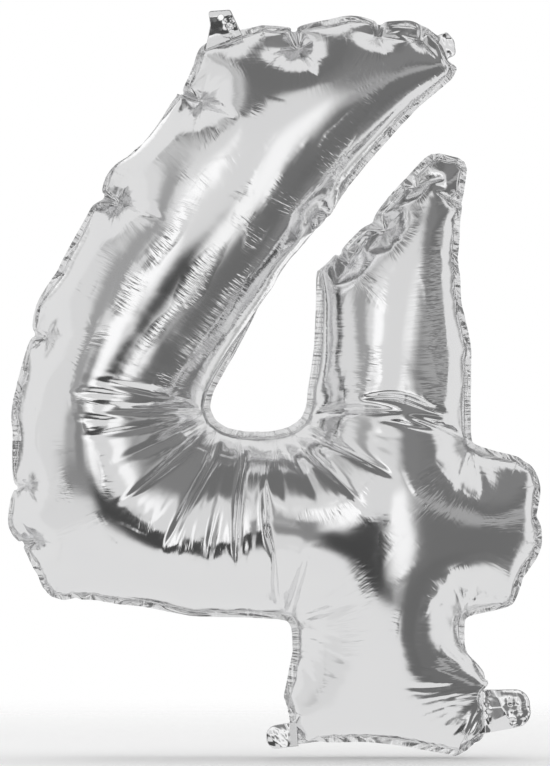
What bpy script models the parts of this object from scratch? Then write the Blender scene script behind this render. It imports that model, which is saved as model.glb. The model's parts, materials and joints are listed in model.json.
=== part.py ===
"""Inflated foil number balloon, the figure 4, with its filling neck, valve and hanging tabs.

Frame: the front faces -Y, +X is to the right, +Z is up, and the origin is the middle of
the balloon's underside. Lengths in the tables are millimetres, and MM turns them into metres.
The two foil panels are flat sheets welded along their outline. Their pillow shape is the
membrane curve of a blown up tube: half the depth is sqrt(2u), where u solves laplace(u) = -1
over the sheet and is zero on the weld, which makes every straight limb round in section.
"""

import math

import bmesh
import bpy
import numpy as np
from mathutils import Matrix, Vector
from mathutils.geometry import delaunay_2d_cdt

MM = 0.001

# Driving dimensions.
FOIL = 0.4 * MM  # stands in for a foil of about 0.03 mm
VALVE_FILM = 0.3 * MM  # stands in for a polyethylene film of about 0.04 mm
GAP = 0.3 * MM  # clearance between plies that touch on the real balloon
WELD = 3.5 * MM  # width of the welded rim
CROWN_LIMIT = 50.0 * MM  # half the depth that the widest junctions approach, as foil can't stretch
MESH_STEP = 10.0 * MM
NECK_ROWS = 8
NECK_COLUMNS = 6
ARC_STEP = math.radians(24)

# The filling neck and the valve inside it.
NECK_HALF_WIDTH = 11.3 * MM
NECK_LENGTH = 25.0 * MM
NECK_END_RADIUS = 9.0 * MM
NECK_CREASE_ROOM = 1.6 * MM  # from the panels' edge to the fold line of the neck
MOUTH_RISE = 0.9 * MM  # how far each ply stands off to let the valve films through
MOUTH_HALF_WIDTH = 7.4 * MM
FILM_HALF_WIDTH = 6.6 * MM
FILM_END_ROOM = 4.0 * MM  # from the neck's open end back to the films
INNER_FILM_LENGTH = 46.0 * MM

# The tabs: both foils welded into one ply.
TAB_THICKNESS = 2 * FOIL
TAB_CREASE_ROOM = 0.6 * MM
TAB_HOLE_RADIUS = 1.5 * MM

# Straight stretches of the rim that carry a tab or the neck, each from start to end of the
# anticlockwise outline, as (x, z).
NECK_EDGE = ((112.5, 8.2), (109.4, 40.0))
TIP_EDGE = ((93.6, 373.0), (87.6, 390.5))
TOP_EDGE = ((-14.0, 393.4), (-47.0, 379.7))
FOOT_EDGE = ((8.0, 20.5), (9.4, 3.4))

# Corners of the outline, anticlockwise seen from the front: x, z and corner radius.
OUTLINE = (
    # foot, underside and right
    (*FOOT_EDGE[1], 5),
    (101.0, 0.0, 10),
    (*NECK_EDGE[0], 6),
    (*NECK_EDGE[1], 12),
    (103.2, 64.0, 20),
    (102.5, 76.0, 5),
    # right end of the cross bar
    (129.0, 80.5, 14),
    (143.8, 117.0, 40),
    (143.8, 166.0, 24),
    (104.0, 171.7, 4),
    # upright, up its right side and down its left one
    (102.3, 223.6, 60),
    (94.2, 293.8, 40),
    (95.3, 325.6, 7),
    (74.2, 329.4, 9),
    (16.0, 264.5, 7),
    # counter, open to the outside by a slit at its top
    (12.6, 176.0, 16),
    (-43.5, 176.0, 15),
    # underside of the slanting arm, up to its tip
    (28.5, 293.0, 20),
    (35.5, 304.0, 14),
    (69.9, 351.0, 30),
    (88.0, 362.0, 14),
    (*TIP_EDGE[0], 5),
    (*TIP_EDGE[1], 5),
    # top of the arm and down its outer side
    (64.5, 396.9, 30),
    (32.1, 399.1, 40),
    (*TOP_EDGE[0], 8),
    (*TOP_EDGE[1], 8),
    (-60.0, 357.0, 20),
    (-94.8, 315.4, 60),
    (-132.6, 239.8, 70),
    (-143.8, 184.0, 60),
    (-142.8, 118.0, 50),
    (-119.0, 77.5, 22),
    # underside of the cross bar and left of the foot
    (-41.0, 71.3, 80),
    (7.2, 71.8, 7),
    (9.5, 56.2, 25),
    (4.6, 30.0, 10),
    (*FOOT_EDGE[0], 3),
)

# Tab shapes, anticlockwise: distance out from the crease, distance along it, corner radius.
TOP_TAB = ((0.1, -11.2, 0), (11.3, -10.5, 1.5), (15.1, 0.8, 1.5), (7.7, 2.7, 2), (0.1, 10.5, 0))
TOP_TAB_HOLE = (9.4, -4.2)
TIP_TAB = ((0.1, -7.2, 0), (4.6, -6.0, 3), (6.2, 1.5, 4), (4.0, 7.2, 1.5), (0.1, 7.0, 0))
FOOT_TAB = ((0.1, -6.6, 0), (12.9, -5.2, 6.0), (12.9, 7.3, 6.0), (0.1, 6.8, 0))


def clear_scene():
    for obj in list(bpy.data.objects):
        bpy.data.objects.remove(obj, do_unlink=True)


def rounded(corners, longest):
    """The closed outline through these corners, each rounded by its radius, in metres."""
    points = []
    count = len(corners)
    for index, (x, z, radius) in enumerate(corners):
        corner = Vector((x, z)) * MM
        before = Vector(corners[index - 1][:2]) * MM - corner
        after = Vector(corners[(index + 1) % count][:2]) * MM - corner
        half = before.angle(after) / 2
        reach = min(radius * MM / math.tan(half), 0.49 * before.length, 0.49 * after.length)
        if reach <= 0:
            points.append(corner)
            continue
        before.normalize()
        after.normalize()
        centre = corner + (before + after).normalized() * reach / math.cos(half)
        start = corner + before * reach - centre
        turn = start.angle_signed(corner + after * reach - centre)
        steps = max(2, math.ceil(abs(turn) / ARC_STEP), math.ceil(abs(turn) * start.length / longest))
        for step in range(steps + 1):
            points.append(centre + Matrix.Rotation(-turn * step / steps, 2) @ start)
    return with_straights_split(points, longest)


def with_straights_split(points, longest):
    split = []
    for index, point in enumerate(points):
        following = points[(index + 1) % len(points)]
        pieces = max(1, math.ceil((following - point).length / longest))
        split.extend(point.lerp(following, piece / pieces) for piece in range(pieces))
    return split


def inset(points, distance):
    """Each point moved inwards, square to the outline there."""
    moved = []
    for index, point in enumerate(points):
        along = (points[(index + 1) % len(points)] - points[index - 1]).normalized()
        moved.append(point + Vector((-along.y, along.x)) * distance)
    return moved


def distance_to_line(point, start, end):
    along = end - start
    share = max(0.0, min(1.0, (point - start).dot(along) / along.length_squared))
    return (start + along * share - point).length


def grid_inside(outline, step):
    """Points of a triangular grid, kept clear of the outline by most of a step."""
    low = [min(point[axis] for point in outline) for axis in (0, 1)]
    high = [max(point[axis] for point in outline) for axis in (0, 1)]
    row_step = step * math.sqrt(3) / 2
    found = []
    for row in range(int((high[1] - low[1]) / row_step) + 1):
        for column in range(int((high[0] - low[0]) / step) + 2):
            offset = (row % 2) * step / 2
            point = Vector((low[0] + column * step + offset, low[1] + row * row_step))
            ends = zip(outline, outline[1:] + outline[:1])
            if min(distance_to_line(point, start, end) for start, end in ends) > 0.65 * step:
                found.append(point)
    return found


def triangulated(ring, inner_points):
    """Triangles over the closed ring, whose points come first, anticlockwise."""
    points = ring + inner_points
    edges = [(index, (index + 1) % len(ring)) for index in range(len(ring))]
    result = delaunay_2d_cdt(points, edges, [], 1, 1e-7)
    kept = {index for face in result[2] for index in face}
    order = [sources[0] for sources in result[3]]
    used = sorted(kept, key=lambda index: order[index])
    place = {index: rank for rank, index in enumerate(used)}
    faces = [tuple(place[index] for index in face) for face in result[2]]
    return [result[0][index] for index in used], faces


def membrane_height(points, faces, fixed):
    """sqrt(2u), limited, where laplace(u) = -1 and u is zero on the first fixed points."""
    count = len(points)
    stiffness = np.zeros((count, count))
    load = np.zeros(count)
    for face in faces:
        corners = np.array([points[index] for index in face])
        opposite = corners[[2, 0, 1]] - corners[[1, 2, 0]]
        doubled = opposite[0, 0] * opposite[1, 1] - opposite[0, 1] * opposite[1, 0]
        stiffness[np.ix_(face, face)] += opposite @ opposite.T / (2 * doubled)
        load[list(face)] += doubled / 6
    free = np.arange(fixed, count)
    height = np.zeros(count)
    height[free] = np.linalg.solve(stiffness[np.ix_(free, free)], load[free])
    round_height = np.sqrt(2 * np.maximum(height, 0))
    return round_height / (1 + (round_height / CROWN_LIMIT) ** 4) ** 0.25


def mouth_rise(along):
    """How far a ply stands off at this distance from the middle of the neck."""
    share = (abs(along) - MOUTH_HALF_WIDTH) / (NECK_HALF_WIDTH - MOUTH_HALF_WIDTH)
    share = max(0.0, min(1.0, share))
    return MOUTH_RISE * (1 - share * share * (3 - 2 * share))


class Crease:
    """The fold line beside a straight stretch of rim: its middle, and which way is out."""

    def __init__(self, edge, room, share=0.5):
        start = Vector(edge[0]) * MM
        end = Vector(edge[1]) * MM
        self.along = (end - start).normalized()
        self.out = Vector((self.along.y, -self.along.x))
        self.middle = start.lerp(end, share) + self.out * room

    def local(self, point):
        """Distance out from the crease and distance along it."""
        return (point - self.middle).dot(self.out), (point - self.middle).dot(self.along)

    def place(self, obj):
        """Local X becomes the way out, and local Z the way along the crease."""
        obj.location = (self.middle.x, 0.0, self.middle.y)
        obj.rotation_euler.y = -math.atan2(self.out.y, self.out.x)


NECK_CREASE = Crease(NECK_EDGE, NECK_CREASE_ROOM)
TOP_CREASE = Crease(TOP_EDGE, TAB_CREASE_ROOM, 0.46)
TIP_CREASE = Crease(TIP_EDGE, TAB_CREASE_ROOM)
FOOT_CREASE = Crease(FOOT_EDGE, TAB_CREASE_ROOM)


def material(name, colour, roughness, metallic, transmission=0.0):
    made = bpy.data.materials.new(name)
    made.use_nodes = True
    surface = made.node_tree.nodes["Principled BSDF"]
    surface.inputs["Base Color"].default_value = (*colour, 1)
    surface.inputs["Roughness"].default_value = roughness
    surface.inputs["Metallic"].default_value = metallic
    surface.inputs["Transmission Weight"].default_value = transmission
    return made


def foil_material(name, roughness):
    return material(name, (0.82, 0.82, 0.83), roughness, 1.0)


def film_material(name):
    return material(name, (0.86, 0.88, 0.9), 0.3, 0.0, 0.7)


def object_from(name, points, faces, finish):
    mesh = bpy.data.meshes.new(name)
    mesh.from_pydata(points, [], faces)
    mesh.materials.append(finish)
    mesh.shade_smooth()
    mesh.set_sharp_from_angle(angle=math.radians(50))
    obj = bpy.data.objects.new(name, mesh)
    bpy.context.scene.collection.objects.link(obj)
    return obj


def thickened(obj, thickness):
    """Adds the thickness behind the faces, so the drawn side stays where it is."""
    solidify = obj.modifiers.new("thickness", "SOLIDIFY")
    solidify.thickness = thickness
    solidify.offset = -1
    solidify.use_even_offset = False


def facing(faces, side):
    """Anticlockwise faces look to -Y, the front. The back needs them the other way round."""
    return faces if side < 0 else [tuple(reversed(face)) for face in faces]


def panel_surface():
    """Points as (x, z, height) and faces of one foil panel, from its rim to its crown."""
    rim = rounded(OUTLINE, MESH_STEP)
    weld = inset(rim, WELD)
    points, faces = triangulated(weld, grid_inside(weld, MESH_STEP))
    height = membrane_height(points, faces, len(weld))
    surface = [(point.x, point.y, rise) for point, rise in zip(points, height)]
    count = len(rim)
    shift = len(points)
    surface.extend((point.x, point.y, 0.0) for point in rim)
    for index in range(count):
        following = (index + 1) % count
        faces.append((shift + index, shift + following, following, index))
    return surface, faces


def panel(name, side, surface, faces):
    """One welded foil sheet, blown up on its own side of the weld plane."""
    points = []
    for x, z, height in surface:
        out, along = NECK_CREASE.local(Vector((x, z)))
        near_neck = out > -2 * NECK_CREASE_ROOM - 2 * WELD
        lift = max(height, mouth_rise(along) if near_neck else 0.0)
        points.append((x, side * (GAP / 2 + FOIL + lift), z))
    obj = object_from(name, points, facing(faces, side), foil_material(name, 0.14))
    thickened(obj, FOIL)
    return obj


def neck_surface(half_width, near, far, end_radius):
    """A flat strip along the neck's axis in rows across it, as (out, along) and quads."""
    points = []
    for column in range(NECK_COLUMNS):
        share = column / (NECK_COLUMNS - 1)
        for row in range(NECK_ROWS + 1):
            along = half_width * (2 * row / NECK_ROWS - 1)
            over = max(0.0, abs(along) - (half_width - end_radius))
            end = far - end_radius + math.sqrt(end_radius**2 - over**2) if end_radius else far
            points.append((near + (end - near) * share, along))
    quads = []
    for column in range(NECK_COLUMNS - 1):
        for row in range(NECK_ROWS):
            corner = column * (NECK_ROWS + 1) + row
            quads.append((corner, corner + NECK_ROWS + 1, corner + NECK_ROWS + 2, corner + 1))
    return points, quads


def neck_ply(name, side):
    """One foil ply of the filling neck, which continues the panel on its side."""
    points, faces = neck_surface(NECK_HALF_WIDTH, 0.1 * MM, NECK_LENGTH, NECK_END_RADIUS)
    solid = [(out, side * (GAP / 2 + FOIL + mouth_rise(along)), along) for out, along in points]
    obj = object_from(name, solid, facing(faces, side), foil_material(name, 0.2))
    thickened(obj, FOIL)
    NECK_CREASE.place(obj)
    return obj


def film(name, side, near, far):
    """One film of the flat valve, lying next to the weld plane on its own side."""
    points, faces = neck_surface(FILM_HALF_WIDTH, near, far, 0.0)
    solid = [(out, side * (GAP / 2 + VALVE_FILM), along) for out, along in points]
    outward = facing(faces, side) if far > near else facing(faces, -side)
    obj = object_from(name, solid, outward, film_material(name))
    thickened(obj, VALVE_FILM)
    NECK_CREASE.place(obj)
    return obj


def inner_film(name, side):
    """The free inner end of a valve film, with its origin on the line that it opens about."""
    obj = film(name, side, 0.0, -INNER_FILM_LENGTH)
    root = NECK_CREASE.middle - NECK_CREASE.out * (NECK_CREASE_ROOM + GAP)
    obj.location = (root.x, 0.0, root.y)
    return obj


def tab(name, corners, crease, hole=None):
    """A flat tab of both foils, drawn from its crease outwards."""
    outline = rounded(corners, 4 * MM)
    front = [(out, -TAB_THICKNESS / 2, along) for out, along in outline]
    build = bmesh.new()
    face = build.faces.new([build.verts.new(point) for point in front])
    raised = bmesh.ops.extrude_face_region(build, geom=[face])["geom"]
    moved = [item for item in raised if isinstance(item, bmesh.types.BMVert)]
    bmesh.ops.translate(build, verts=moved, vec=(0, TAB_THICKNESS, 0))
    bmesh.ops.recalc_face_normals(build, faces=build.faces)
    obj = object_from(name, [], [], foil_material(name, 0.2))
    build.to_mesh(obj.data)
    build.free()
    obj.data.shade_smooth()
    obj.data.set_sharp_from_angle(angle=math.radians(50))
    if hole:
        cut_hole(obj, hole, crease)
    crease.place(obj)
    return obj


def cut_hole(obj, centre, crease):
    """A punched round hole, square to the tab."""
    build = bmesh.new()
    turned = Matrix.Rotation(math.pi / 2, 4, "X")
    bmesh.ops.create_cone(
        build,
        cap_ends=True,
        segments=20,
        radius1=TAB_HOLE_RADIUS,
        radius2=TAB_HOLE_RADIUS,
        depth=6 * TAB_THICKNESS,
        matrix=Matrix.Translation((centre[0] * MM, 0, centre[1] * MM)) @ turned,
    )
    cutter = object_from("hole_cutter", [], [], obj.data.materials[0])
    build.to_mesh(cutter.data)
    build.free()
    cutter.hide_render = True
    cutter.display_type = "WIRE"
    crease.place(cutter)
    cut = obj.modifiers.new("hole", "BOOLEAN")
    cut.operation = "DIFFERENCE"
    cut.solver = "EXACT"
    cut.object = cutter


def build_balloon():
    surface, faces = panel_surface()
    for word, side in (("front", -1), ("back", 1)):
        panel(f"{word}_panel", side, surface, faces)
        neck_ply(f"neck_{word}_ply", side)
        film(f"neck_{word}_valve_film", side, 0.2 * MM, NECK_LENGTH - FILM_END_ROOM)
        inner_film(f"inner_{word}_valve_film", side)
    tab("top_hanging_tab", TOP_TAB, TOP_CREASE, TOP_TAB_HOLE)
    tab("tip_tab", TIP_TAB, TIP_CREASE)
    tab("foot_tab", FOOT_TAB, FOOT_CREASE)


clear_scene()
build_balloon()
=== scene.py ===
"""The looks of the foil number balloon: its two metallised films blown up by simulation
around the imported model, its crinkled tabs and neck, the foil's material, and a pale studio."""

import json
import math

import bpy
import numpy as np
from mathutils import Matrix, Vector
from mathutils.geometry import delaunay_2d_cdt


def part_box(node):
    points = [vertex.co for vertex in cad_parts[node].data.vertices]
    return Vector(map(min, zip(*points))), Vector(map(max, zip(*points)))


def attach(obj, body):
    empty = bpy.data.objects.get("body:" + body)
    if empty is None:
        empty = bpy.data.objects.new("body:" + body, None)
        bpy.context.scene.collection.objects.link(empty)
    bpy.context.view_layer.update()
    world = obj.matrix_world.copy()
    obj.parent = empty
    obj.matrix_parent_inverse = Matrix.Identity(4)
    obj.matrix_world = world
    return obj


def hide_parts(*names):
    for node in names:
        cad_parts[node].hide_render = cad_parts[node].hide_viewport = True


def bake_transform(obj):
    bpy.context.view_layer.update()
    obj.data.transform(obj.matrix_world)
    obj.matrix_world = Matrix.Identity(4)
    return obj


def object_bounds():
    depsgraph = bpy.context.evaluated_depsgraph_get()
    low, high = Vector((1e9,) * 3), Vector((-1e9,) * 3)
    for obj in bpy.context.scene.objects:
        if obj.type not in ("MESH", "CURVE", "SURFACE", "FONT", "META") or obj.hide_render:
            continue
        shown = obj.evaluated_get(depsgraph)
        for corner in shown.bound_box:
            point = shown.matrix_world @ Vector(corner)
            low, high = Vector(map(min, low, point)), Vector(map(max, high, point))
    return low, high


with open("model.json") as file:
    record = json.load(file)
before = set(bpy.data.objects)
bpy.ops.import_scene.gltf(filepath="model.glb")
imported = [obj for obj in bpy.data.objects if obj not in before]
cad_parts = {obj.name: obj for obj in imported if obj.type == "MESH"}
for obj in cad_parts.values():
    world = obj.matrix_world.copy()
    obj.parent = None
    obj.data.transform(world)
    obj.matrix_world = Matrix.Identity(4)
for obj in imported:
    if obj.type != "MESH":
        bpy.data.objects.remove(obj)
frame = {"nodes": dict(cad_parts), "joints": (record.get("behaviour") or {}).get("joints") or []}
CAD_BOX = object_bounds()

MM = 0.001
JOINTS = {joint["name"]: joint for joint in frame["joints"]}

# ---------------------------------------------------------------- the films' cutting pattern

# Corners of the weld line on the flat, not yet blown up film, anticlockwise seen from the
# front: x, z and corner radius, in millimetres. Air draws every limb in by about a quarter,
# so this pattern is fatter than the balloon, and its slits are narrower.
WELD_CORNERS = (
    (7, -14, 2),
    (96, -23, 6),
    (107, -19, 2),
    (111, 12, 8),
    (114, 36, 24),
    (118, 49, 8),
    (142, 61, 10),
    (159, 93, 36),
    (161, 137, 20),
    (131, 160, 8),
    (133, 212, 56),
    (129, 285, 44),
    (130, 315, 4),
    (115, 320, 6),
    (43, 267, 4),
    (19, 182, 20),
    (-39, 183, 18),
    (30, 311, 24),
    (34, 324, 18),
    (60, 376, 34),
    (72, 396, 10),
    (76, 404, 2),
    (70, 418, 2),
    (48, 426, 26),
    (14, 430, 36),
    (-39, 422, 4),
    (-70, 406, 4),
    (-89, 380, 24),
    (-121, 335, 56),
    (-152, 251, 66),
    (-159, 192, 56),
    (-155, 123, 46),
    (-129, 83, 18),
    (-54, 62, 76),
    (-5, 53, 10),
    (-1, 35, 28),
    (0, 9, 6),
    (3, 0, 6),
)

# Where the weld is drawn in between two pillow segments: the corner before the pinch, the share
# of the way to the next corner, and the pinch's depth and half width.
PINCHES = (
    (1, 0.5, 2, 4),
    (11, 0.3, 3, 5),
    (13, 0.2, 4, 5),
    (13, 0.54, 6, 6),
    (13, 0.84, 5, 5),
    (16, 0.93, 3, 5),
    (22, 0.62, 5, 4),
    (23, 0.5, 5, 5),
    (24, 0.62, 8, 6),
    (26, 0.75, 8, 6),
    (28, 0.2, 7, 6),
    (29, 0.3, 5, 5),
    (30, 0.65, 4, 5),
    (31, 0.3, 4, 5),
)
WELD_WIDTH = 3.5

# The film's mesh: how far a point strays from an even grid, and how far the grid stays clear of
# the outline and of a hole, as shares of the grid's step.
GRID_JITTER = 0.12
CLEAR_OF_OUTLINE = 0.6
CLEAR_OF_HOLE = 0.4

# A rounded corner takes up at most this share of the sides that meet there.
ROUNDING_SHARE = 0.45

# Nearer to the outline than this, in millimetres, a point doesn't say which way is in.
TOO_NEAR = 1

FRONT, BACK, RIM = 0, 1, 2


def rounded_outline(corners, step):
    """Points about a step apart along the closed outline, with its corners rounded.

    A corner without a radius stays a point of the outline."""
    arcs = []
    for index, (x, z, radius) in enumerate(corners):
        corner = Vector((x, z))
        if radius == 0:
            arcs.append([corner])
            continue
        before = Vector(corners[index - 1][:2]) - corner
        after = Vector(corners[(index + 1) % len(corners)][:2]) - corner
        half = before.angle(after) / 2
        shorter = min(before.length, after.length)
        reach = min(radius / math.tan(half), ROUNDING_SHARE * shorter)
        before.normalize()
        after.normalize()
        centre = corner + (before + after).normalized() * reach / math.cos(half)
        start = corner + before * reach - centre
        turn = start.angle_signed(corner + after * reach - centre)
        pieces = max(2, round(abs(turn) * start.length / step))
        arcs.append(
            [centre + Matrix.Rotation(-turn * piece / pieces, 2) @ start for piece in range(pieces + 1)]
        )
    points = []
    for index, arc in enumerate(arcs):
        points.extend(arc)
        following = arcs[(index + 1) % len(arcs)][0]
        pieces = max(1, round((following - arc[-1]).length / step))
        points.extend(arc[-1].lerp(following, piece / pieces) for piece in range(1, pieces))
    return np.array([tuple(point) for point in points])


def outline_normals(points):
    """The way out of an anticlockwise outline, in its plane, at each point."""
    along = np.roll(points, -1, axis=0) - np.roll(points, 1, axis=0)
    along /= np.linalg.norm(along, axis=1)[:, None]
    return np.stack([along[:, 1], -along[:, 0]], axis=1)


def weld_and_edge(step):
    """The pinched weld line, and the film's cut edge outside it, as points in pairs."""
    corners = []
    tips = []
    for index, corner in enumerate(WELD_CORNERS):
        corners.append(corner)
        start = Vector(corner[:2])
        along = Vector(WELD_CORNERS[(index + 1) % len(WELD_CORNERS)][:2]) - start
        for before, share, depth, half_width in PINCHES:
            if before == index:
                tip = start + along * share
                side = along.normalized() * half_width
                corners.extend((*point, 0) for point in (tip - side, tip, tip + side))
                tips.append((tuple(tip), depth))
    weld = rounded_outline(corners, step)
    out = outline_normals(weld)
    edge = weld + WELD_WIDTH * out
    for tip, depth in tips:
        nearest = np.argmin(np.linalg.norm(weld - tip, axis=1))
        weld[nearest] -= depth * out[nearest]
    return weld, edge


def inside(points, outline):
    """True for the points inside the closed outline."""
    x, z = points[:, 0], points[:, 1]
    found = np.zeros(len(points), bool)
    for (x1, z1), (x2, z2) in zip(outline, np.roll(outline, -1, axis=0)):
        if z1 != z2:
            found ^= ((z1 > z) != (z2 > z)) & (x < (x2 - x1) * (z - z1) / (z2 - z1) + x1)
    return found


def nearest_on_outline(points, outline):
    """Each point's distance to the outline, how far along it the nearest place is, and the way in.

    The way in points from that place to the inside, through the point if it isn't too near."""
    distance = np.full(len(points), np.inf)
    travelled = np.zeros(len(points))
    way_in = np.zeros(points.shape)
    passed = 0.0
    for start, end in zip(outline, np.roll(outline, -1, axis=0)):
        side = end - start
        length = np.linalg.norm(side)
        share = np.clip((points - start) @ side / length**2, 0, 1)
        apart = points - start - share[:, None] * side
        gap = np.linalg.norm(apart, axis=1)
        square = np.array((-side[1], side[0])) / length
        sign = np.where(apart @ square < 0, -1, 1)
        through_point = apart * (sign / np.maximum(gap, TOO_NEAR))[:, None]
        way = np.where(gap[:, None] < TOO_NEAR, square, through_point)
        nearer = gap < distance
        distance[nearer] = gap[nearer]
        way_in[nearer] = way[nearer]
        travelled[nearer] = passed + share[nearer] * length
        passed += length
    return distance, travelled, way_in


def meshed(loops, step, random, hole=None):
    """Flat points, the loops' first, and anticlockwise triangles.

    The grid fills the last loop. Loops before it only add their own points: the balloon's cut
    edge outside the weld, or a tab's hole, which is left without faces."""
    outline = loops[-1]
    low, high = outline.min(axis=0), outline.max(axis=0)
    rows = np.arange(low[1], high[1], step * math.sqrt(3) / 2)
    columns = np.arange(low[0], high[0] + step, step)
    grid = np.array([(x + (row % 2) * step / 2, z) for row, z in enumerate(rows) for x in columns])
    grid += random.uniform(-GRID_JITTER, GRID_JITTER, grid.shape) * step
    grid = grid[inside(grid, outline)]
    grid = grid[nearest_on_outline(grid, outline)[0] > CLEAR_OF_OUTLINE * step]
    if hole is not None:
        clear = nearest_on_outline(grid, hole)[0] > CLEAR_OF_HOLE * step
        grid = grid[~inside(grid, hole) & clear]
    points = [Vector(point) for point in np.concatenate([*loops, grid])]
    sides = []
    first = 0
    for loop in loops:
        count = len(loop)
        sides.extend((first + index, first + (index + 1) % count) for index in range(count))
        first += count
    result = delaunay_2d_cdt(points, sides, [], 1, 1e-6)
    faces = np.array(result[2])
    everywhere = np.array([tuple(point) for point in result[0]])
    if hole is not None:
        faces = faces[~inside(everywhere[faces].mean(axis=1), hole)]
    origin = np.array([sources[0] for sources in result[3]])
    used = np.unique(faces)
    used = used[np.argsort(origin[used], kind="stable")]
    place = np.full(len(origin), -1)
    place[used] = np.arange(len(used))
    return everywhere[used], place[faces]


# ---------------------------------------------------------------- blowing the films up

# Rounds of picking pairs for one group, and the share of its speed that a point keeps.
PICKING_ROUNDS = 6
SPEED_KEPT = 0.92


def unique_edges(faces):
    """Each edge once, its number of faces, and the corners that face each other over an edge."""
    edges = np.sort(np.concatenate([faces[:, [0, 1]], faces[:, [1, 2]], faces[:, [2, 0]]]), axis=1)
    opposite = np.concatenate([faces[:, 2], faces[:, 0], faces[:, 1]])
    order = np.lexsort((edges[:, 1], edges[:, 0]))
    edges, opposite = edges[order], opposite[order]
    first = np.flatnonzero(np.r_[True, (edges[1:] != edges[:-1]).any(axis=1)])
    count = np.diff(np.r_[first, len(edges)])
    shared = first[count == 2]
    return edges[first], count, np.stack([opposite[shared], opposite[shared + 1]], axis=1)


def disjoint_groups(pairs, count, random):
    """The pairs split into groups in which no point occurs twice, so each is solved at once."""
    groups = []
    left = np.arange(len(pairs))
    while len(left):
        group = []
        waiting = left
        taken = np.zeros(count, bool)
        for _ in range(PICKING_ROUNDS):
            rank = random.permutation(len(waiting))
            lowest = np.full(count, len(pairs))
            np.minimum.at(lowest, pairs[waiting, 0], rank)
            np.minimum.at(lowest, pairs[waiting, 1], rank)
            wins = (lowest[pairs[waiting, 0]] == rank) & (lowest[pairs[waiting, 1]] == rank)
            group.append(waiting[wins])
            taken[pairs[waiting[wins]].ravel()] = True
            waiting = waiting[~wins]
            waiting = waiting[~taken[pairs[waiting]].any(axis=1)]
        group = np.concatenate(group)
        groups.append(group)
        left = np.setdiff1d(left, group, assume_unique=True)
    return groups


class Foil:
    """Film that can't stretch, as points joined by links, blown up by air pressure."""

    def __init__(self, flat, place, faces, sheet, random):
        self.flat = flat  # where each point is on the cutting pattern
        self.place = place  # where it is in space
        self.faces = faces
        self.sheet = sheet  # of each face: FRONT, BACK or RIM
        self.random = random

    def links(self, pairs, pull, push):
        """Groups of links: their points, lengths, and how hard they pull and push."""
        length = np.linalg.norm(self.flat[pairs[:, 0]] - self.flat[pairs[:, 1]], axis=1)
        groups = disjoint_groups(pairs, len(self.flat), self.random)
        return [(*pairs[group].T, length[group], pull, push) for group in groups]

    def area_of_points(self):
        """Each point's share of the film's area."""
        corners = self.flat[self.faces]
        first = corners[:, 1] - corners[:, 0]
        second = corners[:, 2] - corners[:, 0]
        area = np.abs(first[:, 0] * second[:, 1] - first[:, 1] * second[:, 0]) / 6
        return np.bincount(self.faces.ravel(), np.repeat(area, 3), len(self.flat))

    def push_of_air(self, blown, area):
        """The outward push on each point, at a pressure of one."""
        corners = self.place[blown]
        normal = np.cross(corners[:, 1] - corners[:, 0], corners[:, 2] - corners[:, 0]) / 6
        normal = np.repeat(normal, 3, axis=0)
        push = [np.bincount(blown.ravel(), normal[:, axis], len(area)) / area for axis in range(3)]
        return np.stack(push, axis=1)

    def blow_up(self, steps, pressure, crumple, stiffness, rounds, jitter=0.0, hold=None):
        """Steps the film under a pressure that runs between two values.

        crumple is how far a link resists being shortened, stiffness how far a fold resists
        being folded, and hold puts points back where they may be after each round."""
        edges, _, folds = unique_edges(self.faces)
        links = self.links(edges, 1.0, crumple) + self.links(folds, 0.0, stiffness)
        blown = self.faces[self.sheet != RIM]
        area = self.area_of_points()
        speed = np.zeros_like(self.place)
        self.place = self.place + self.random.normal(0, 1, self.place.shape) * jitter
        for now in np.linspace(*pressure, steps):
            speed = SPEED_KEPT * speed + now * self.push_of_air(blown, area)
            moved = self.place + speed
            for _ in range(rounds):
                for first, second, length, pull, push in links:
                    gap = moved[second] - moved[first]
                    actual = np.sqrt((gap * gap).sum(axis=1)) + 1e-9
                    change = (actual - length) / actual
                    change *= np.where(change > 0, pull, push) / 2
                    gap *= change[:, None]
                    moved[first] += gap
                    moved[second] -= gap
                if hold:
                    hold(moved)
            speed = moved - self.place
            self.place = moved

    def subdivide(self):
        """Splits each face in four."""
        sides = [self.faces[:, [0, 1]], self.faces[:, [1, 2]], self.faces[:, [2, 0]]]
        edges, index = np.unique(np.sort(np.concatenate(sides), axis=1), axis=0, return_inverse=True)
        middle = index.reshape(3, -1) + len(self.flat)
        self.flat = np.concatenate([self.flat, self.flat[edges].mean(axis=1)])
        self.place = np.concatenate([self.place, self.place[edges].mean(axis=1)])
        a, b, c = self.faces.T
        ab, bc, ca = middle
        quarters = [(a, ab, ca), (b, bc, ab), (c, ca, bc), (ab, bc, ca)]
        self.faces = np.concatenate([np.stack(quarter, axis=1) for quarter in quarters])
        self.sheet = np.tile(self.sheet, 4)

    def smooth(self, rounds, amount, fixed=None):
        """Takes the smallest unevenness out of the points' places, but for the fixed points'."""
        edges, _, _ = unique_edges(self.faces)
        amount = np.full((len(self.place), 1), amount)
        if fixed is not None:
            amount[fixed] = 0
        neighbours = np.bincount(edges.ravel(), minlength=len(self.place))[:, None]
        for _ in range(rounds):
            total = np.zeros_like(self.place)
            for axis in range(3):
                total[:, axis] += np.bincount(edges[:, 0], self.place[edges[:, 1], axis], len(total))
                total[:, axis] += np.bincount(edges[:, 1], self.place[edges[:, 0], axis], len(total))
            self.place += amount * (total / neighbours - self.place)

    def points_of(self, *sheets):
        """True for the points of the faces on these sheets."""
        found = np.zeros(len(self.flat), bool)
        found[self.faces[np.isin(self.sheet, sheets)]] = True
        return found


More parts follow.
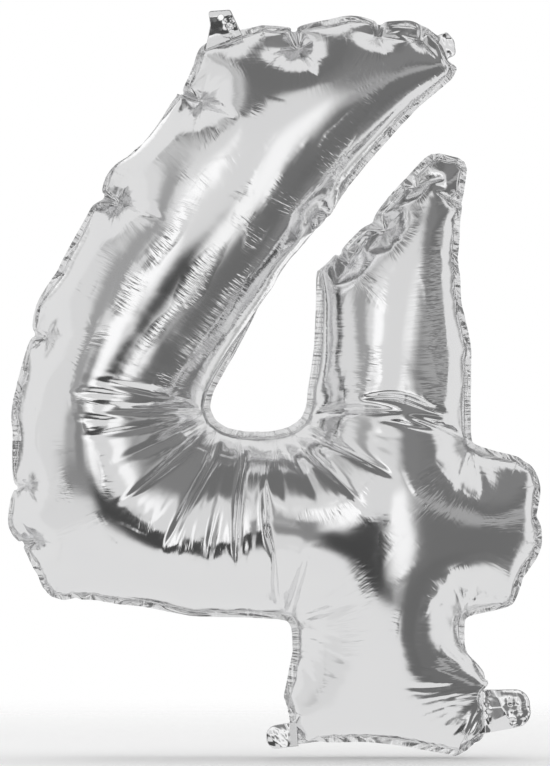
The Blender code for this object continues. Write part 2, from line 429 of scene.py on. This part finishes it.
# The first, coarse blow up of the front half starts as a low roof over the weld's plane, and stays
# off that plane. All lengths are in millimetres.
COARSE_STEP = 10
WELD_STEP = 0.8 * COARSE_STEP
ROOF_REACH = 30
ROOF_SLOPE = 0.1
OFF_THE_PLANE = 0.05
EVENING_ROUNDS = 6


def half_balloon(random):
    """The front film and the weld, blown up against the weld's plane: the back mirrors it."""
    weld, edge = weld_and_edge(WELD_STEP)
    flat, faces = meshed([edge, weld], COARSE_STEP, random)
    middle = flat[faces].mean(axis=1)
    sheet = np.where(inside(middle, weld), FRONT, RIM)
    from_weld = np.minimum(ROOF_REACH, nearest_on_outline(flat, weld)[0])
    depth = np.where(inside(flat, weld), from_weld, 0)
    place = np.stack([flat[:, 0], -ROOF_SLOPE * depth, flat[:, 1]], axis=1)
    half = Foil(flat, place, faces, sheet, random)
    welded = half.points_of(RIM)

    def hold(moved):
        moved[welded, 1] = 0
        moved[~welded, 1] = np.minimum(moved[~welded, 1], -OFF_THE_PLANE)

    half.blow_up(220, (0.5, 0.2), crumple=0.05, stiffness=0.01, rounds=3, hold=hold)
    half.blow_up(160, (0.2, 0.03), crumple=0.05, stiffness=0.01, rounds=4, hold=hold)
    for ring in (slice(0, len(edge)), slice(len(edge), 2 * len(edge))):
        for _ in range(EVENING_ROUNDS):
            line = half.place[ring]
            half.place[ring] = (np.roll(line, 1, axis=0) + 2 * line + np.roll(line, -1, axis=0)) / 4
    return half


def closed_balloon(half):
    """Both films and the weld between them, from the front half."""
    count = len(half.flat)
    loose = ~half.points_of(RIM)
    behind = np.arange(count)
    behind[loose] = count + np.arange(loose.sum())
    flat = np.concatenate([half.flat, half.flat[loose]])
    place = np.concatenate([half.place, half.place[loose] * (1, -1, 1)])
    front = half.faces[half.sheet == FRONT]
    faces = np.concatenate([half.faces, behind[front][:, ::-1]])
    sheet = np.concatenate([half.sheet, np.full(len(front), BACK)])
    return Foil(flat, place, faces, sheet, half.random)


# Each finer level: rounds of smoothing before it, which take out the folds that were too wide
# so that finer ones form, then steps, pressure, crumple, stiffness, rounds and jitter.
LEVELS = (
    (3, 60, (0.03, 0.01), 0.03, 0.02, 4, 0.02),
    (6, 100, (0.015, 0.006), 0.6, 0.02, 4, 0.03),
    (1, 50, (0.006, 0.003), 0.9, 0.05, 4, 0.01),
)
SMOOTHING = 0.5


def blown_up_balloon():
    """Both films, blown up once coarsely and then again with ever smaller faces."""
    foil = closed_balloon(half_balloon(np.random.default_rng(4)))
    for smoothing_rounds, *settings in LEVELS[: None]:
        foil.smooth(smoothing_rounds, SMOOTHING, fixed=foil.points_of(RIM))
        foil.subdivide()
        foil.blow_up(*settings)
    foil.smooth(1, SMOOTHING)
    return foil


# ---------------------------------------------------------------- putting the films in the frame


class Crease:
    """The fold line of a tab or the neck: its middle, the way out of the balloon, the way along."""

    def __init__(self, joint_name):
        joint = JOINTS[joint_name]
        self.middle = Vector(joint["pos_m"])
        self.along = Vector(joint["axis"])
        self.out = Vector((self.along.z, 0, -self.along.x))

    def point(self, out, along=0.0, depth=0.0):
        """A place given in millimetres from the crease, in metres in the frame."""
        flat = self.middle + (self.out * out + self.along * along) * MM
        return flat + Vector((0, depth * MM, 0))


CREASES = {
    "filling_neck": Crease("neck_fold"),
    "top_tab_body": Crease("top_tab_fold"),
    "tip_tab_body": Crease("tip_tab_fold"),
    "foot_tab_body": Crease("foot_tab_fold"),
}
# The rim is drawn to the middle and both ends of each crease. The ends are half the crease's
# width from its middle, the rim stops this far inside the crease, both in millimetres, and the
# film around follows over the reach. The rim's point that is drawn is the one furthest out, once
# it is marked down by so many times its way aside.
CREASE_HALF_WIDTH = {"filling_neck": 11, "top_tab_body": 9, "tip_tab_body": 6, "foot_tab_body": 5}
INSIDE_CREASE = 0.6
CREASE_REACH = 9 * MM
DRAWING_ROUNDS = 3
ASIDE_WEIGHT = 3

# The upright limb bulges forwards just above the crossing, and more abruptly on its lower side.
# Its place is in shares of the balloon's box, and its reach in shares of the balloon's height.
BULGE = np.array((0.67, 0.5, 0.365))
BULGE_FORWARD = 4.5 * MM
BULGE_ACROSS = 0.1
BULGE_UPWARDS = 0.15
BULGE_DOWNWARDS = 0.065


def fitted_to_frame(foil):
    """The points' places in metres: as wide and high as the CAD panel, and joined to each crease."""
    low, high = (np.array(corner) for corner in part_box("front_panel"))
    place = foil.place.copy()
    rim = foil.points_of(RIM)
    place[:, 1] -= place[rim, 1].mean()
    for axis in (0, 2):
        first, last = place[:, axis].min(), place[:, axis].max()
        place[:, axis] = np.interp(place[:, axis], (first, last), (low[axis], high[axis]))
    place[:, 1] *= MM
    size = high - low
    across, _, up = ((place - low - BULGE * size) / size[2]).T
    up /= np.where(up > 0, BULGE_UPWARDS, BULGE_DOWNWARDS)
    place[:, 1] -= BULGE_FORWARD * np.exp(-((across / BULGE_ACROSS) ** 2) - up**2)
    for _ in range(DRAWING_ROUNDS):
        for body, crease in CREASES.items():
            for share in (-1, 1, 0):
                target = np.array(crease.point(-INSIDE_CREASE, share * CREASE_HALF_WIDTH[body]))
                edge = place[rim]
                ahead = (edge - target) @ np.array(crease.out)
                aside = np.abs((edge - target) @ np.array(crease.along))
                nearest = edge[np.argmax(ahead - ASIDE_WEIGHT * aside)]
                gap = np.linalg.norm(place - nearest, axis=1)
                place += np.exp(-((gap / CREASE_REACH) ** 2))[:, None] * (target - nearest)
    return place


def new_piece(name, points, faces, material):
    """A smooth-shaded mesh object from points in metres."""
    mesh = bpy.data.meshes.new(name)
    mesh.vertices.add(len(points))
    mesh.vertices.foreach_set("co", np.ascontiguousarray(points, np.float32).ravel())
    mesh.loops.add(faces.size)
    mesh.loops.foreach_set("vertex_index", faces.astype(np.int32).ravel())
    mesh.polygons.add(len(faces))
    mesh.polygons.foreach_set("loop_start", np.arange(0, faces.size, 3, dtype=np.int32))
    mesh.polygons.foreach_set("loop_total", np.full(len(faces), 3, np.int32))
    mesh.update(calc_edges=True)
    mesh.shade_smooth()
    mesh.materials.append(material)
    piece = bpy.data.objects.new(name, mesh)
    bpy.context.scene.collection.objects.link(piece)
    return piece


def store(piece, name, kind, values):
    """Keeps a value of each point for the material's nodes."""
    attribute = piece.data.attributes.new(name, kind, "POINT")
    field = "value" if kind == "FLOAT" else "vector"
    attribute.data.foreach_set(field, np.ascontiguousarray(values, np.float32).ravel())


# A link crosses a jump if it moves this many times its own length along the weld, and the
# jump's neighbourhood is this many links wide.
JUMP_FACTOR = 4
JUMP_ROUNDS = 8
# Half the gap between the two welded films, in metres.
RIM_GAP = 0.08 * MM
# Round a corner that points into the film the wrinkles fan out: a turn of the way in counts as
# this many millimetres along the weld for each radian.
FAN_WIDTH = 40


def near_jumps(foil, travelled):
    """1 where the nearest place on the weld jumps from one side of a limb to the other, then less."""
    links, _, _ = unique_edges(foil.faces)
    one, other = links.T
    length = np.linalg.norm(foil.flat[one] - foil.flat[other], axis=1)
    jumps = np.abs(travelled[one] - travelled[other]) > JUMP_FACTOR * length
    near = np.zeros(len(foil.flat))
    near[links[jumps]] = 1
    for _ in range(JUMP_ROUNDS):
        spread = near.copy()
        np.maximum.at(spread, one, near[other] - 1 / JUMP_ROUNDS)
        np.maximum.at(spread, other, near[one] - 1 / JUMP_ROUNDS)
        near = spread
    return near


def make_films(material):
    """The front and the back film, each with its own side of the welded rim."""
    foil = blown_up_balloon()
    place = fitted_to_frame(foil)
    weld, _ = weld_and_edge(COARSE_STEP)
    distance, travelled, way_in = nearest_on_outline(foil.flat, weld)
    calm = near_jumps(foil, travelled)
    welded = foil.points_of(RIM) & ~foil.points_of(FRONT, BACK)
    films = (("front_foil", "front_panel", FRONT, 1), ("back_foil", "back_panel", BACK, -1))
    for name, node, sheet, side in films:
        rim = foil.faces[foil.sheet == RIM][:, ::side]
        faces = np.concatenate([foil.faces[foil.sheet == sheet], rim])
        used, faces = np.unique(faces, return_inverse=True)
        faces = faces.reshape(-1, 3)
        points = place[used]
        points[:, 1] -= side * RIM_GAP * welded[used]
        piece = new_piece(name, points, faces, material)
        fan = FAN_WIDTH * way_in[used]
        crossing = np.stack([travelled[used] + fan[:, 0], distance[used], fan[:, 1]], axis=1) * MM
        store(piece, "calm", "FLOAT", calm[used])
        store(piece, "weld_place", "FLOAT_VECTOR", crossing)
        store(piece, "welded", "FLOAT", welded[used])
        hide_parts(node)
        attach(piece, "balloon")


# ---------------------------------------------------------------- tabs and neck

# Outlines of the tabs beyond their creases: out, along and corner radius, in millimetres.
TOP_TAB = ((11.3, -10.5, 1.5), (15.1, 0.8, 1.5), (7.7, 2.7, 2))
TIP_TAB = ((4.6, -6, 3), (6.2, 1.5, 4), (4, 7.2, 1.5))
FOOT_TAB = ((12.9, -5.2, 6), (12.9, 7.3, 6))
NECK = ((25, -9.5, 8), (25, 9.5, 8))
NECK_VALVE_FILM = ((21.5, -6.8, 1), (21.5, 6.8, 1))
TAB_HOLE = (9.4, -4.2)
TAB_HOLE_RADIUS = 1.5
TAB_STEP = 0.5
# How far a tab, or the neck's valve film, goes on behind its crease.
ROOT = 4.0
VALVE_FILM_ROOT = 0.4
# A tab's root lies this far beside the weld's plane, and leaves it within the next length.
ROOT_GAP = 0.25
ROOT_LEAVES = 2.5
FOIL_HALF_THICKNESS = 0.08
VALVE_FILM_HALF_THICKNESS = 0.02
# The neck's plies and valve films stand off its middle by this many of their half thicknesses.
PLY_GAP = 1.5
# Where a bend over the crease would start and end. Make works out these places, but nothing bends the
# pieces.
BEND_START = -1
BEND_END = 1.5


def circle(centre, radius, count=20):
    """Points around a circle."""
    turns = np.arange(count) * math.tau / count
    return np.array(centre) + radius * np.stack([np.cos(turns), np.sin(turns)], axis=1)


class Tab:
    """A flat tab beyond its crease, to be given a height at each point and made a piece.

    Its root runs from first to last along the crease, and ends a way behind it. The height is
    in millimetres, and away from the viewer."""

    def __init__(self, body, corners, first, last, random, hole=None, behind=ROOT):
        self.body = body
        self.crease = CREASES[body]
        self.random = random
        corners = ((-behind, first, 0), *corners, (-behind, last, 0))
        self.outline = rounded_outline(corners, TAB_STEP)
        loops = [self.outline] if hole is None else [hole, self.outline]
        self.flat, self.faces = meshed(loops, TAB_STEP, random, hole=hole)
        self.height = np.zeros(len(self.flat))

    def lean(self, x, z):
        """Leans the tab by a slope in the frame, so that it mirrors another part of the studio."""
        out, along = self.crease.out, self.crease.along
        slope = np.array((x * out.x + z * out.z, x * along.x + z * along.z))
        beyond = self.flat.copy()
        beyond[:, 0] = np.maximum(beyond[:, 0], 0)
        self.height += beyond @ slope

    def fold(self, through, turn, slope):
        """Folds the part ahead of a line, given by a point on it and the way ahead in degrees."""
        turn = math.radians(turn)
        ahead = np.array((math.cos(turn), math.sin(turn)))
        self.height += slope * np.maximum(0, (self.flat - through) @ ahead)

    def inner(self, reach):
        """0 at the cut edge, rising to 1 at this distance from it."""
        return np.clip(nearest_on_outline(self.flat, self.outline)[0] / reach, 0, 1)

    def crumple(self, height, width, count, where=1.0):
        """Adds facets with sharp folds between them: zigzags that run in all directions."""
        low, high = self.flat.min(axis=0), self.flat.max(axis=0)
        total = np.zeros(len(self.flat))
        for _ in range(count):
            turn = self.random.uniform(0, math.tau)
            across = np.array((math.cos(turn), math.sin(turn)))
            run = (self.flat - self.random.uniform(low, high)) @ across
            run /= width * self.random.uniform(0.6, 1.6)
            total += self.random.choice((-1, 1)) * np.abs((run + 0.5) % 2 - 1)
        self.height += height * where * total / math.sqrt(count)

    def follow(self, other):
        """Takes the height of the nearest point of another sheet."""
        for index, spot in enumerate(self.flat):
            nearest = np.argmin(((other.flat - spot) ** 2).sum(axis=1))
            self.height[index] = other.height[nearest]

    def make(self, name, node, material, side=0, puff=0.0, half=FOIL_HALF_THICKNESS, slot="foil"):
        """The piece: one sheet in front of the weld, or one ply on a side of it, puffed up."""
        beyond = np.clip(self.flat[:, 0] / ROOT_LEAVES, 0, 1)
        depth = self.height * beyond + (side or -1) * ROOT_GAP * (1 - beyond)
        depth += side * (half * PLY_GAP + puff)
        spots = zip(self.flat, depth)
        points = np.array([self.crease.point(out, along, deep) for (out, along), deep in spots])
        points, faces = thickened(points, self.faces, half)
        piece = new_piece(name, points, faces, material)
        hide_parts(node)
        bend = (self.crease.point(BEND_START), self.crease.point(BEND_END))
        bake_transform(piece)


def thickened(points, faces, half_thickness):
    """The sheet as a closed body: both sides, and a strip along each open edge."""
    count = len(points)
    shift = np.array((0, half_thickness * MM, 0))
    both = np.concatenate([points - shift, points + shift])
    sides = np.concatenate([faces[:, [0, 1]], faces[:, [1, 2]], faces[:, [2, 0]]])
    known = {tuple(side) for side in sides}
    start, end = np.array([side for side in sides if (side[1], side[0]) not in known]).T
    strip = [(end, start, start + count), (end, start + count, end + count)]
    strip = [np.stack(corners, axis=1) for corners in strip]
    return both, np.concatenate([faces, faces[:, ::-1] + count, *strip])


def make_top_tab(material):
    """The hanging tab: its top strip is bent up, and its right side is crinkled."""
    hole = circle(TAB_HOLE, TAB_HOLE_RADIUS)
    tab = Tab("top_tab_body", TOP_TAB, -11.2, 10.5, np.random.default_rng(3), hole)
    tab.lean(-0.06, -0.12)
    tab.fold((8.5, -9.5), -18, 0.42)
    tab.fold((3, 6), 70, 0.3)
    right = np.clip((-3 - tab.flat[:, 1]) / 3, 0, 1) * np.clip((9 - tab.flat[:, 0]) / 3, 0, 1)
    tab.crumple(1.0, 2.4, 10, right)
    tab.crumple(0.12, 3.5, 6)
    tab.make("top_tab_foil", "top_hanging_tab", material)


def make_tip_tab(material):
    """The tip's rounded flap, with facets at its root and a short slit mark beyond them."""
    tab = Tab("tip_tab_body", TIP_TAB, -7.2, 7, np.random.default_rng(5))
    tab.lean(-0.1, 0.1)
    tab.crumple(0.6, 3.0, 7, np.clip((3 - tab.flat[:, 0]) / 2, 0, 1))
    tab.fold((2.5, 4), 70, -0.4)
    tab.crumple(0.1, 3, 6)
    tab.make("tip_tab_foil", "tip_tab", material)


def make_foot_tab(material):
    """The foot's rounded tab: its rim curls towards the front around a crinkled middle."""
    tab = Tab("foot_tab_body", FOOT_TAB, -6.6, 6.8, np.random.default_rng(7))
    tab.lean(0.19, -0.03)
    tab.fold((8.5, 2.5), 45, 0.24)
    tab.crumple(0.45, 2.2, 12, tab.inner(2.5))
    tab.fold((3, -2.5), -110, 0.3)
    tab.make("foot_tab_foil", "foot_tab", material)


def make_neck(material, valve_film):
    """Two plies that meet along their edges: smooth at the root, crinkled towards the mouth.

    The valve's two films lie between the plies and follow them."""
    tab = Tab("filling_neck", NECK, -12.2, 12.2, np.random.default_rng(21))
    tab.lean(-0.26, -0.07)
    tab.fold((0, 1.5), 88, 0.4)
    tab.fold((0, 2.1), 88, -0.42)
    tab.fold((5, -5), -72, 0.3)
    tab.fold((11, -1), 20, 0.45)
    outer = np.clip((tab.flat[:, 0] - 10) / 3, 0, 1)
    root = np.clip((5 - tab.flat[:, 0]) / 4, 0, 1)
    tab.crumple(0.6, 3.0, 14, tab.inner(1.5) * outer)
    tab.crumple(0.9, 2.2, 8, root)
    tab.crumple(0.1, 3.5, 6)
    puff = 0.7 * tab.inner(4.0)
    random = np.random.default_rng(2)
    film = Tab("filling_neck", NECK_VALVE_FILM, -6.8, 6.8, random, behind=VALVE_FILM_ROOT)
    film.follow(tab)
    for side, word in ((-1, "front"), (1, "back")):
        tab.make(f"neck_{word}_foil", f"neck_{word}_ply", material, side, puff)
        thin = {"half": VALVE_FILM_HALF_THICKNESS, "slot": "valve_film"}
        film.make(f"neck_{word}_film", f"neck_{word}_valve_film", valve_film, side, **thin)


# ---------------------------------------------------------------- materials


class Nodes:
    """Adds nodes to a node tree in one call each."""

    def __init__(self, tree):
        self.tree = tree
        tree.nodes.clear()

    def add(self, kind, settings=None, give=0, **inputs):
        """A node by its type, its settings, and its inputs: a value or the socket that feeds it.

        An input's key is its name with _ for each blank, or Input_ and its number. It returns
        the node's first output, or the one whose name is given."""
        made = self.tree.nodes.new("ShaderNode" + kind)
        for name, value in (settings or {}).items():
            setattr(made, name, value)
        for key, value in inputs.items():
            name = key.replace("_", " ")
            socket = made.inputs[int(key[6:]) if key.startswith("Input_") else name]
            if isinstance(value, bpy.types.NodeSocket):
                self.tree.links.new(value, socket)
            else:
                socket.default_value = value
        return made.outputs[give] if made.outputs else made

    def math(self, operation, *values):
        """A math node, fed in order."""
        inputs = {f"Input_{index}": value for index, value in enumerate(values)}
        return self.add("Math", {"operation": operation}, **inputs)

    def ramp(self, source, stops):
        """A grey ramp over values from 0 to 1, with soft steps."""
        grey = self.add("ValToRGB", Fac=source)
        ramp = grey.node.color_ramp
        ramp.interpolation = "EASE"
        ramp.elements.remove(ramp.elements[1])
        for index, (place, shade) in enumerate(stops):
            stop = ramp.elements[0] if index == 0 else ramp.elements.new(place)
            stop.position = place
            stop.color = (shade, shade, shade, 1)
        return grey


# How many metres from the weld the wider wrinkles have faded away.
WRINKLE_REACH = 0.05


def foil_material():
    """Metallised film: a mirror with fine wrinkles that run away from the weld."""
    material = bpy.data.materials.new("silver_foil")
    material.use_nodes = True
    nodes = Nodes(material.node_tree)
    weld_place = nodes.add("Attribute", {"attribute_name": "weld_place"}, give="Vector")
    welded = nodes.add("Attribute", {"attribute_name": "welded"}, give="Fac")
    distance = nodes.add("SeparateXYZ", give="Y", Vector=weld_place)

    def noise(scale, detail, roughness=0.5):
        """Noise whose scale differs along the weld and away from it, in features per metre."""
        scaled = nodes.add("VectorMath", {"operation": "MULTIPLY"}, Input_0=weld_place, Input_1=scale)
        return nodes.add("TexNoise", Vector=scaled, Scale=1.0, Detail=detail, Roughness=roughness)

    fading = nodes.math("DIVIDE", distance, WRINKLE_REACH)
    fading = nodes.ramp(fading, [(0, 1), (0.5, 0.6), (1, 0)])
    wrinkles = nodes.math("MULTIPLY", noise((420, 55, 420), 2.0), fading)
    patches = nodes.ramp(noise((28, 60, 28), 1.0), [(0.49, 0.05), (0.63, 1)])
    combed = nodes.math("MULTIPLY", noise((480, 70, 480), 2.0, 0.6), patches)
    calm = nodes.add("Attribute", {"attribute_name": "calm"}, give="Fac")
    lively = nodes.math("SUBTRACT", 1, calm)
    wrinkles = nodes.math("MULTIPLY", wrinkles, lively)
    combed = nodes.math("MULTIPLY", combed, lively)
    where = nodes.add("TexCoord", give="Object")
    crinkles = nodes.add("TexNoise", Vector=where, Scale=320.0, Detail=2.0, Roughness=0.45)
    bump = nodes.add("Bump", Strength=0.6, Distance=0.0006, Height=wrinkles)
    bump = nodes.add("Bump", Strength=0.8, Distance=0.0005, Height=combed, Normal=bump)
    bump = nodes.add("Bump", Strength=0.02, Distance=0.0004, Height=crinkles, Normal=bump)
    uneven = nodes.add("TexNoise", Vector=where, Scale=35.0, Detail=3.0)
    rough = nodes.math("MULTIPLY_ADD", uneven, 0.05, 0.1)
    rough = nodes.math("MULTIPLY_ADD", welded, 0.12, rough)
    tint = nodes.add("MixRGB", Fac=uneven, Color1=(0.86, 0.86, 0.87, 1), Color2=(0.9, 0.9, 0.9, 1))
    shader = nodes.add("BsdfPrincipled", Base_Color=tint, Metallic=1.0, Roughness=rough, Normal=bump)
    nodes.add("OutputMaterial", Surface=shader)
    return material


def valve_film_material():
    """Clear film with a faint milky unevenness."""
    material = bpy.data.materials.new("clear_valve_film")
    material.use_nodes = True
    nodes = Nodes(material.node_tree)
    where = nodes.add("TexCoord", give="Object")
    uneven = nodes.add("TexNoise", Vector=where, Scale=140.0, Detail=3.0)
    bump = nodes.add("Bump", Strength=0.2, Distance=0.0003, Height=uneven)
    cover = nodes.math("MULTIPLY_ADD", uneven, 0.2, 0.22)
    shader = nodes.add(
        "BsdfPrincipled",
        Base_Color=(0.86, 0.88, 0.9, 1),
        Roughness=nodes.math("MULTIPLY_ADD", uneven, 0.15, 0.12),
        Alpha=cover,
        Normal=bump,
    )
    nodes.add("OutputMaterial", Surface=shader)
    return material


def pale_floor_material():
    """Plain pale paper that fades away with the distance from the balloon."""
    material = bpy.data.materials.new("pale_floor")
    material.use_nodes = True
    nodes = Nodes(material.node_tree)
    where = nodes.add("TexCoord", give="Object")
    grain = nodes.add("TexNoise", Vector=where, Scale=60.0, Detail=4.0)
    colour = nodes.add("MixRGB", Fac=grain, Color1=(0.93, 0.93, 0.93, 1), Color2=(0.95, 0.95, 0.95, 1))
    distance = nodes.add("VectorMath", {"operation": "LENGTH"}, give="Value", Input_0=where)
    fading = nodes.ramp(nodes.math("DIVIDE", distance, FLOOR_RADIUS), [(0.1, 1), (0.95, 0)])
    shader = nodes.add("BsdfPrincipled", Base_Color=colour, Roughness=0.6, Alpha=fading)
    nodes.add("OutputMaterial", Surface=shader)
    return material


# ---------------------------------------------------------------- studio

# The floor's and the key light's places and sizes, in metres, and the light's power in watts.
FLOOR_RADIUS = 1.2
FLOOR_GAP = 0.6 * MM
KEY_HEIGHT = 1.6
KEY_SIZE = 1.6
KEY_POWER = 14


def make_floor(material):
    """A round floor under the balloon, which the foil doesn't mirror."""
    bpy.ops.mesh.primitive_circle_add(vertices=128, radius=FLOOR_RADIUS, fill_type="NGON")
    floor = bpy.context.object
    floor.name = "studio_floor"
    floor.location.z = CAD_BOX[0][2] - FLOOR_GAP
    floor.data.materials.append(material)
    floor.visible_glossy = False


def make_key_light():
    """A soft light overhead for the floor: the foil itself shows only what stands around it."""
    key = bpy.data.objects.new("key_light", bpy.data.lights.new("key_light", "AREA"))
    bpy.context.scene.collection.objects.link(key)
    key.location.z = KEY_HEIGHT
    key.data.size = KEY_SIZE
    key.data.energy = KEY_POWER
    key.visible_glossy = False


# What stands around the foil, as it mirrors it: a pale room with flags, cards and lit strips.
# Each is a soft oblong in the directions' x and z: its middle, half length, half width,
# tilt in degrees, shade as it looks on the foil from 0 to 1, and softness of its edge.
CARDS = (
    ("table", 0.0, -0.8, 1.3, 0.31, 0, 0.86, 0.12),
    ("table's edge", 0.32, -0.45, 0.4, 0.06, 0, 0.36, 0.4),
    ("dark ceiling", 0.1, 0.93, 0.72, 0.23, 0, 0.42, 0.25),
    ("dark corner", 0.64, 0.58, 0.58, 0.28, -47, 0.48, 0.4),
    ("dark wall", 0.9, -0.06, 0.33, 0.52, -14, 0.42, 0.3),
    ("grey shelf", 0.88, 0.13, 0.28, 0.12, 0, 0.62, 0.6),
    ("low corner", 0.7, -0.52, 0.15, 0.11, 0, 0.4, 0.4),
    ("left wall", -0.7, 0.3, 0.09, 0.4, 0, 0.6, 0.5),
    ("flag's end", -0.58, -0.15, 0.28, 0.1, 0, 0.52, 0.5),
    ("grey panel", -0.52, 0.03, 0.1, 0.14, 0, 0.5, 0.4),
    ("low flag", -0.1, -0.27, 0.31, 0.2, 0, 0.27, 0.25),
    ("left strip light", -0.31, 0.2, 0.3, 0.1, -65, 0.99, 0.4),
    ("right strip light", 0.38, -0.06, 0.35, 0.12, -80, 0.96, 0.4),
)
ROOM_SHADE = 0.83
WALL_SHADE = 0.86
FOIL_SHARE = 0.88
GAMMA = 2.2
# Where the room with its cards shows, from 0 straight in front of the balloon to 1 straight
# behind it. Between the two is a plain wall, which the foil mirrors at its turned away edges.
ROOM_SHOWS = [(0.5, 1), (0.57, 0), (0.8, 0), (0.9, 1)]


def light_of(shade):
    """The light that looks this bright, from 0 to 1, once the foil has mirrored it."""
    return shade**GAMMA / FOIL_SHARE


def make_world():
    """The studio around the foil. The camera sees plain white behind the balloon."""
    world = bpy.data.worlds.new("studio")
    bpy.context.scene.world = world
    world.use_nodes = True
    nodes = Nodes(world.node_tree)
    direction = nodes.add("TexCoord")
    x, y, z = nodes.add("SeparateXYZ", Vector=direction).node.outputs
    flat = nodes.add("CombineXYZ", X=x, Y=z)
    light = nodes.add("Value")
    light.default_value = light_of(ROOM_SHADE)
    for _, middle_x, middle_z, length, width, tilt, shade, softness in CARDS:
        local = nodes.add(
            "Mapping",
            {"vector_type": "TEXTURE"},
            Vector=flat,
            Location=(middle_x, middle_z, 0),
            Rotation=(0, 0, math.radians(tilt)),
            Scale=(length, width, 1),
        )
        across = nodes.add("SeparateXYZ", Vector=local).node.outputs
        powers = [nodes.math("POWER", nodes.math("ABSOLUTE", side), 4) for side in across[:2]]
        reach = nodes.math("POWER", nodes.math("ADD", *powers), 0.25)
        cover = nodes.add(
            "MapRange",
            {"interpolation_type": "SMOOTHSTEP"},
            Value=reach,
            From_Min=1 + softness,
            From_Max=1 - softness,
        )
        light = nodes.add("Mix", Factor=cover, A=light, B=light_of(shade))
    room = nodes.ramp(nodes.math("MULTIPLY_ADD", y, 0.5, 0.5), ROOM_SHOWS)
    light = nodes.add("Mix", Factor=room, A=light_of(WALL_SHADE), B=light)
    grey = nodes.add("CombineColor", Red=light, Green=light, Blue=light)
    mirrored = nodes.add("Background", Color=grey)
    plain = nodes.add("Background", Color=(1, 1, 1, 1))
    camera_ray = nodes.add("LightPath")
    shader = nodes.add("MixShader", Fac=camera_ray, Input_1=mirrored, Input_2=plain)
    nodes.add("OutputWorld", Surface=shader)


CAMERA_DISTANCE = 6.0
SENSOR = 36
# The picture is this many times as wide as the balloon.
PICTURE_MARGIN = 1.03


def make_camera():
    """Straight in front of the balloon, from so far away that it is hardly foreshortened."""
    low, high = CAD_BOX
    camera = bpy.data.objects.new("camera", bpy.data.cameras.new("camera"))
    bpy.context.scene.collection.objects.link(camera)
    camera.location = ((low[0] + high[0]) / 2, -CAMERA_DISTANCE, (low[2] + high[2]) / 2)
    camera.rotation_euler = (math.radians(90), 0, 0)
    camera.data.sensor_fit = "HORIZONTAL"
    camera.data.sensor_width = SENSOR
    camera.data.lens = SENSOR * CAMERA_DISTANCE / ((high[0] - low[0]) * PICTURE_MARGIN)
    camera.data.clip_end = 50
    bpy.context.scene.camera = camera


foil = foil_material()
make_films(foil)
make_top_tab(foil)
make_tip_tab(foil)
make_foot_tab(foil)
valve_film = valve_film_material()
make_neck(foil, valve_film)
for name, node in frame["nodes"].items():
    if "valve_film" in name:
        node.data.materials.clear()
        node.data.materials.append(valve_film)
make_floor(pale_floor_material())
make_key_light()
make_world()
make_camera()
bpy.context.scene.view_settings.view_transform = "Standard"
